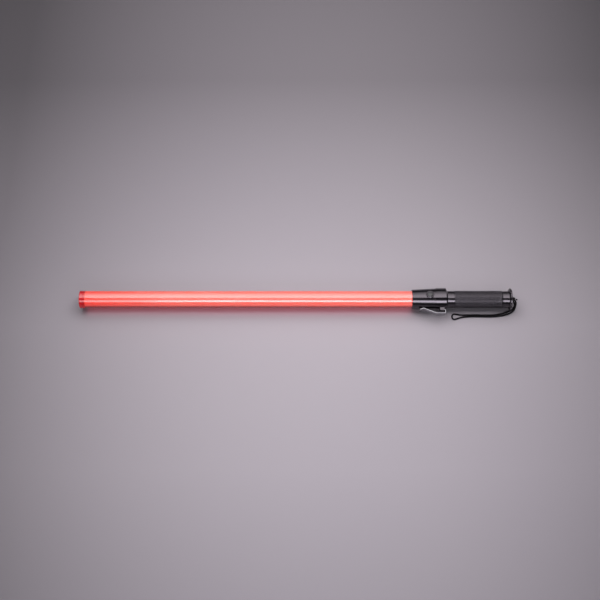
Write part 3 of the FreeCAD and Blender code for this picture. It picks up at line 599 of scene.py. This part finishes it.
def make_anchor():
    """The cord's bight round the tail cap's bar."""
    low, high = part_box("strap_anchor")
    bar_x = low.x + CORD_RADIUS + 3.8 * MM
    side = high.y - CORD_RADIUS
    corner = side * 1.02
    straight_x = bar_x + 3.5 * MM
    knot_x = KNOT_MIDDLE.x - 2.6 * MM
    knot_gap = 1.6 * MM
    route = [
        (knot_x, knot_gap, 0),
        (straight_x, side, 0),
        (bar_x, corner, 0),
        (bar_x - corner, corner, 0),
        (bar_x - corner, -corner, 0),
        (bar_x, -corner, 0),
        (straight_x, -side, 0),
        (knot_x, -knot_gap, 0),
    ]
    line = evenly(nurbs_points("anchor_line", route), BRAID_STEP)
    return braided("strap_anchor_cord", line, "tail", "strap_anchor")


# The short ends past the knot: (direction, length in millimetres).
STRAP_ENDS = [((0.97, -0.12, 0.12), 3.6), ((-0.1, -0.92, 0.38), 2.2)]
END_START = 4.55 * MM  # from the knot's middle
END_STEPS = 24
MELTED_LENGTH = 0.9 * MM
UNDER_KNOT = 0.97  # an end is squeezed to this share of the cord's radius


def end_radius(length):
    """The radius of a cut end of this length, which closes to a melted bead."""
    cord = braid_radius(CORD_RADIUS * UNDER_KNOT)

    def radius_at(distance, angle):
        melted = max(0.0, (distance - length + MELTED_LENGTH) / MELTED_LENGTH)
        if melted:
            return CORD_RADIUS * math.sqrt(max(0.0, 1 - melted**3 * 0.9))
        return cord(distance, angle)

    return radius_at


def make_strap_ends():
    """The two short ends past the knot, cut and melted to a bead."""
    pieces = []
    for number, (heading, length_mm) in enumerate(STRAP_ENDS):
        direction = Vector(heading).normalized()
        length = length_mm * MM
        foot = KNOT_MIDDLE + direction * END_START
        line = [foot + direction * (length * step / END_STEPS) for step in range(END_STEPS + 1)]
        name = f"strap_end_{number + 1}"
        nodes = () if number else ("strap_ends",)
        mesh = tube_mesh(line, end_radius(length))
        pieces.append(make_piece(name, *mesh, "strap_cord", "tail_carrier", *nodes, sharp=None))
    return pieces


def make_strap():
    """The wrist strap: its loop is the cord, with the knot, the anchor and the ends on it."""
    route = [Vector(p) * MM for p in STRAP_ROUTE]
    line = evenly(nurbs_points("strap_line", route), BRAID_STEP)
    loop = braided("strap_loop_cord", line, "tail_carrier", "strap_loop")
    make_knot()
    make_anchor()
    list(make_strap_ends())


# ---------------------------------------------------------------- grip sleeve

PAD_ROWS_AROUND = 42  # rubber pads round the sleeve
PADS_PER_BAND = 3  # pads between two lengthwise grooves
PAD_PITCH = 2.7 * MM  # pads along the sleeve
SAMPLES = 6  # mesh columns across a pad
PAD_DEPTH = 0.38 * MM
BAND_DEPTH = 0.55 * MM
SLEEVE_WALL = 1.55 * MM
SLEEVE_MARGIN = 1.4 * MM  # plain rubber at each end
PAD_ROUNDING = 3.2  # how soon a pad rises from its grooves


def sleeve_outline(low, high, rows):
    """The sleeve's section as (x, radius, patterned), from one end of its bore to the other."""
    top, bed = high.z, high.z - SLEEVE_WALL
    end = [(0, bed), (0, top - 0.6 * MM), (0.25 * MM, top - 0.2 * MM), (0.6 * MM, top)]
    end.append((SLEEVE_MARGIN - 0.2 * MM, top))
    start_x, span = low.x + SLEEVE_MARGIN, high.x - low.x - 2 * SLEEVE_MARGIN
    outline = [(low.x + inset, radius, False) for inset, radius in end]
    outline += [(start_x + span * row / rows, top, True) for row in range(rows + 1)]
    outline += [(high.x - inset, radius, False) for inset, radius in reversed(end)]
    return outline


def make_grip_sleeve():
    """Rubber sleeve with rows of small raised pads between lengthwise grooves."""
    low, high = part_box("grip_sleeve")
    start_x, span = low.x + SLEEVE_MARGIN, high.x - low.x - 2 * SLEEVE_MARGIN
    columns = PAD_ROWS_AROUND * SAMPLES
    pads = round(span / PAD_PITCH)
    outline = sleeve_outline(low, high, pads * SAMPLES)
    vertices = []
    for x, radius, patterned in outline:
        along = abs(math.sin(math.pi * pads * (x - start_x) / span))
        for column in range(columns):
            angle = 2 * math.pi * column / columns
            drop = 0.0
            if patterned:
                across = abs(math.sin(math.pi * column / SAMPLES))
                drop = PAD_DEPTH * (1 - min(1.0, PAD_ROUNDING * along * across))
                if column % (SAMPLES * PADS_PER_BAND) == 0:
                    drop = BAND_DEPTH
            spot = radius - drop
            vertices.append((x, spot * math.cos(angle), spot * math.sin(angle)))
    faces = ring_faces(len(outline), columns, close_rows=True)
    name, slot = "grip_sleeve_padded", "grip_rubber"
    make_piece(name, vertices, faces, slot, "root", "grip_sleeve", sharp=TURNED_EDGE)


# ---------------------------------------------------------------- belt clip

CLIP_WIDTH = 12 * MM
CLIP_THICKNESS = 1 * MM
CLIP_BEND = 2.2 * MM  # radius of the strip's middle line at each corner of its bend
CLIP_STEP = 0.45 * MM
CLIP_SOFT = 0.2  # rounding of the strip's edges, as a share of its thickness
# The arm's middle line, from its bend: it leaves the straight at CLIP_TURN_X from the ring's
# front, goes in to its contact with the housing and out again to its lip.
CLIP_TURN_X = 1.5 * MM
CLIP_CONTACT = (-25.2 * MM, -22.4 * MM)  # X from the ring's front, Y from the axis
CLIP_LIP = (-7.8 * MM, -3.9 * MM)  # from the contact
CLIP_CORNERS = (16 * MM, 2.6 * MM)  # radii at the turn and at the contact
LIP_LENGTH = 5 * MM  # over which the strip narrows to its lip
LIP_NARROWING = 0.5


def clip_line():
    """The middle line of the clip in X and Y: along its leg, round the bend and out to the lip."""
    low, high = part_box("clip_arm")
    leg_x, leg_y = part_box("clip_base")[0].x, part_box("clip_base")[1].y - CLIP_THICKNESS / 2
    arm_y = low.y + CLIP_THICKNESS / 2
    bend_x = high.x - CLIP_THICKNESS / 2 - CLIP_BEND
    ring_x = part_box("joint_ring")[0].x
    contact = (ring_x + CLIP_CONTACT[0], CLIP_CONTACT[1])
    lip = (contact[0] + CLIP_LIP[0], contact[1] + CLIP_LIP[1])
    line = [(leg_x + (bend_x - leg_x) * step / 6, leg_y) for step in range(6)]
    for first, middle_y in ((90, leg_y - CLIP_BEND), (0, arm_y + CLIP_BEND)):
        for step in range(10):
            angle = math.radians(first - 10 * step)
            out, along = CLIP_BEND * math.cos(angle), CLIP_BEND * math.sin(angle)
            line.append((bend_x + out, middle_y + along))
    route = [(bend_x, arm_y), (ring_x + CLIP_TURN_X, arm_y), contact, lip]
    return line + rounded(route, CLIP_CORNERS)


def make_belt_clip():
    """The clip as one bent strip of steel, whose bend gives where the arm's hinge is."""
    places = evenly([(x, y, 0) for x, y in clip_line()], CLIP_STEP)
    vertices, faces = strip_mesh([Vector(place) for place in places])
    name, slot = "belt_clip_strip", "spring_steel"
    piece = make_piece(name, vertices, faces, slot, None, "clip_base", "clip_arm")
    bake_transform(piece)


def rounded(route, radii):
    """A line in X and Y with an arc of the given radius at each inner corner."""
    points = []
    for index, radius in enumerate(radii, start=1):
        before, here, after = (Vector(p) for p in route[index - 1 : index + 2])
        inward, outward = (before - here).normalized(), (after - here).normalized()
        half_turn = (math.pi - inward.angle(outward)) / 2
        trim = radius * math.tan(half_turn)
        middle = here + (inward + outward).normalized() * (radius / math.cos(half_turn))
        start, end = here + inward * trim - middle, here + outward * trim - middle
        for step in range(11):
            points.append(tuple(middle + start.lerp(end, step / 10).normalized() * radius))
    return [*points, tuple(route[-1])]


def strip_section(half_width):
    """The strip's section as (across its thickness, along Z), with its four edges rounded."""
    flat, soft = CLIP_THICKNESS / 2, CLIP_THICKNESS * CLIP_SOFT
    edge = [(flat - soft, half_width), (flat - soft * 0.3, half_width - soft * 0.3)]
    edge.append((flat, half_width - soft))
    far_edge = [(out, -up) for out, up in reversed(edge)]
    half = edge + far_edge
    return half + [(-out, -up) for out, up in half]


def strip_mesh(points):
    """Vertices and faces of the clip's strip along a line in X and Y, its width along Z."""
    count = len(points)
    run = sum((after - before).length for before, after in zip(points, points[1:]))
    vertices, distance = [], 0.0
    for index, (here, tangent) in enumerate(zip(points, directions(points))):
        if index:
            distance += (here - points[index - 1]).length
        normal = Vector((0, 0, 1)).cross(tangent)
        near_lip = max(0.0, 1 - (run - distance) / LIP_LENGTH)
        half_width = CLIP_WIDTH / 2 * math.sqrt(1 - LIP_NARROWING * near_lip**3)
        for out, up in strip_section(half_width):
            vertices.append(here + normal * out + Vector((0, 0, up)))
    section = len(strip_section(CLIP_WIDTH / 2))
    faces = ring_faces(count, section, close_rows=False)
    faces.append(tuple(range(section - 1, -1, -1)))
    faces.append(tuple(range((count - 1) * section, count * section)))
    return vertices, faces


# ---------------------------------------------------------------- light tube

TUBE_WALL = 1.5 * MM
TUBE_SOFT = 0.25 * MM  # softening of the end edge
TUBE_STATIONS = 60
TUBE_COLUMNS = 128


def make_light_tube():
    """The extruded tube, with a fine outline and a softened edge at its tip."""
    low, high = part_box("light_tube")
    outer = high.z
    inner = outer - TUBE_WALL
    length = high.x - low.x
    outline = [(low.x, inner), (low.x, outer - TUBE_SOFT), (low.x + TUBE_SOFT, outer)]
    outline.append((low.x + 4 * TUBE_SOFT, outer))
    outline += [(low.x + length * step / TUBE_STATIONS, outer) for step in range(1, TUBE_STATIONS)]
    outline += [(high.x, outer), (high.x, inner)]
    vertices = []
    for x, radius in outline:
        for column in range(TUBE_COLUMNS):
            angle = 2 * math.pi * column / TUBE_COLUMNS
            vertices.append((x, radius * math.cos(angle), radius * math.sin(angle)))
    faces = ring_faces(len(outline), TUBE_COLUMNS, close_rows=True)
    name, slot = "light_tube_extruded", "red_tube"
    return make_piece(name, vertices, faces, slot, "root", "light_tube", sharp=TURNED_EDGE)


# ---------------------------------------------------------------- stage and light

FLOOR_HALF = 6.0


def make_floor(target):
    """Mauve paper with painted light falloff: its colour is brightest around the camera's target
    and painted darker towards its edges, where less light falls.
    """
    mesh = bpy.data.meshes.new("floor")
    signs = [(-1, -1), (1, -1), (1, 1), (-1, 1)]
    corners = [(x * FLOOR_HALF, y * FLOOR_HALF, FLOOR_Z) for x, y in signs]
    mesh.from_pydata(corners, [], [(0, 1, 2, 3)])
    floor = bpy.data.objects.new("floor", mesh)
    bpy.context.collection.objects.link(floor)
    m = Material("floor_paper", roughness=0.8)
    m.set(Specular_IOR_Level=0.1)
    paper = m.mix(m.ramp(m.noise(1.2, 2), 0.3, 0.7), (0.412, 0.385, 0.420), (0.402, 0.375, 0.414))
    # Painted light falloff: the colour is painted darker towards the back and towards the front
    # edge.
    painted_back_falloff = m.ramp(m.axis("Y"), -0.05, 0.60, 1.0, 0.47)
    painted_front_falloff = m.ramp(m.axis("Y"), -0.62, -0.36, 0.88, 1.0)
    # Painted light falloff: the colour is painted darker towards both ends along X.
    aside = m.compute("SUBTRACT", m.axis("X"), target.x + 0.06)
    ends = m.ramp(m.compute("MULTIPLY", aside, aside), 0, 0.5, 1.0, 0.51)
    painted_front_back_falloff = m.compute("MULTIPLY", painted_back_falloff, painted_front_falloff)
    m.colour(m.mix(m.compute("MULTIPLY", painted_front_back_falloff, ends), (0.0, 0.0, 0.0), paper))
    mesh.materials.append(m.bump((m.noise(900, 2), 0.03 * MM)).material)


def area_light(name, place, away, width, length, radiance, tint):
    """A flat light, long in X, that faces away from the direction given."""
    data = bpy.data.lights.new(name, "AREA")
    data.shape = "RECTANGLE"
    data.size, data.size_y = length, width
    data.energy = radiance * math.pi * length * width
    data.color = tint
    light = bpy.data.objects.new(name, data)
    light.location = place
    light.rotation_mode = "QUATERNION"
    light.rotation_quaternion = away.to_track_quat("Z", "Y")
    bpy.context.collection.objects.link(light)
    return light


LIGHT_DISTANCE = 1.2
LAYER_GAP = 0.02  # of two softboxes in one plane, a reflected ray would meet only the first


def softbox(name, middle, span, length, radiance, tint, layer):
    """A light over the baton that spans two angles, measured from the horizon in front.

    Each layer lies a little further out than the one before.
    """
    start, end = (math.radians(angle) for angle in span)
    angle, half = (start + end) / 2, (end - start) / 2
    distance = LIGHT_DISTANCE + LAYER_GAP * layer
    away = Vector((0, -math.cos(angle), math.sin(angle)))
    width = 2 * distance * math.tan(half)
    return area_light(name, middle + away * distance, away, width, length, radiance, tint)


# The overhead light is brightest straight above and fades towards the back, so it is made of
# layers that start together: (where the layer ends in degrees, radiance).
OVERHEAD_START = 82
OVERHEAD_LAYERS = [(104, 0.6), (120, 1.2), (136, 1.2), (152, 1.04)]
OVERHEAD_LENGTH = 2.0
OVERHEAD_TINT = (1.0, 0.96, 0.97)


def make_overhead_light(target):
    """The broad light above the baton and behind it, in layers."""
    for number, (end, radiance) in enumerate(OVERHEAD_LAYERS):
        name, span = f"overhead_{number}", (OVERHEAD_START, end)
        softbox(name, target, span, OVERHEAD_LENGTH, radiance, OVERHEAD_TINT, number)


# The low front light fades at its edges, and at its end over the tip: (start and end in degrees,
# start and end along X from the camera's target, radiance).
FRONT_LAYERS = [
    ((20, 60), (-0.80, 0.80), 0.5),
    ((25, 54), (-0.80, 0.80), 0.9),
    ((30, 50), (-0.80, 0.80), 2.7),
    ((30, 50), (-0.46, 0.74), 4.4),
]
FRONT_TINT = (0.96, 0.94, 1.0)
FRONT_DIFFUSE = 0.2  # share of the front light that falls on matt surfaces


def make_front_light(target):
    """Each layer is two lights: one that only gloss shows, and one that lights everything."""
    for number, (span, (left, right), radiance) in enumerate(FRONT_LAYERS):
        middle = target + Vector(((left + right) / 2, 0, 0))
        for kind, share, nudge in (("gloss", 1 - FRONT_DIFFUSE, 0), ("all", FRONT_DIFFUSE, 0.5)):
            name, layer = f"front_{number}_{kind}", number + nudge
            strength = radiance * share
            light = softbox(name, middle, span, right - left, strength, FRONT_TINT, layer)
            light.visible_diffuse = kind == "all"


# Red light under the tube: (width, radiance, tint).
GLOWS = [(24 * MM, 0.55, (1.0, 0.03, 0.06)), (50 * MM, 0.66, (1.0, 0.40, 0.48))]
FILL_SPAN = (20, 60)  # degrees
FILL_LENGTH = 1.6
FILL_LAYER = 7.5
FILL_RADIANCE = 3.2
FILL_TINT = (1.0, 0.36, 0.28)


def make_tube_glow(target, tube):
    """Red light that stands for what the translucent tube lets through and scatters.

    Two lights shine on the floor under the tube, and one, from the front, is received only by the
    tube and its cap.
    """
    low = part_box("light_tube")[0]
    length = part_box("cone_housing")[0].x - low.x
    under = Vector((low.x + length / 2, 0, low.z - 0.2 * MM))
    for number, (width, radiance, tint) in enumerate(GLOWS):
        name, up = f"tube_glow_{number}", Vector((0, 0, 1))
        glow = area_light(name, under, up, width, length, radiance, tint)
        glow.visible_camera = False
        glow.visible_glossy = False

    shape = (FILL_SPAN, FILL_LENGTH)
    fill = softbox("tube_fill", target, *shape, FILL_RADIANCE, FILL_TINT, FILL_LAYER)
    fill.visible_glossy = False
    lit = bpy.data.collections.new("lit_by_tube_fill")
    lit.objects.link(tube)
    lit.objects.link(frame["nodes"]["tip_cap"])
    fill.light_linking.receiver_collection = lit


def make_world():
    """A dim, even light from all round."""
    world = bpy.data.worlds.new("studio")
    world.use_nodes = True
    background = world.node_tree.nodes["Background"]
    background.inputs["Color"].default_value = (0.80, 0.78, 0.83, 1)
    background.inputs["Strength"].default_value = 0.07
    bpy.context.scene.world = world
    bpy.context.scene.view_settings.view_transform = "Standard"


# ---------------------------------------------------------------- all together

view_target = make_camera()
make_strap()
finish_cad_nodes()
light_tube = make_light_tube()
make_grip_sleeve()
make_belt_clip()
make_floor(view_target)
make_overhead_light(view_target)
make_front_light(view_target)
make_tube_glow(view_target, light_tube)
make_world()

bpy.context.view_layer.update()
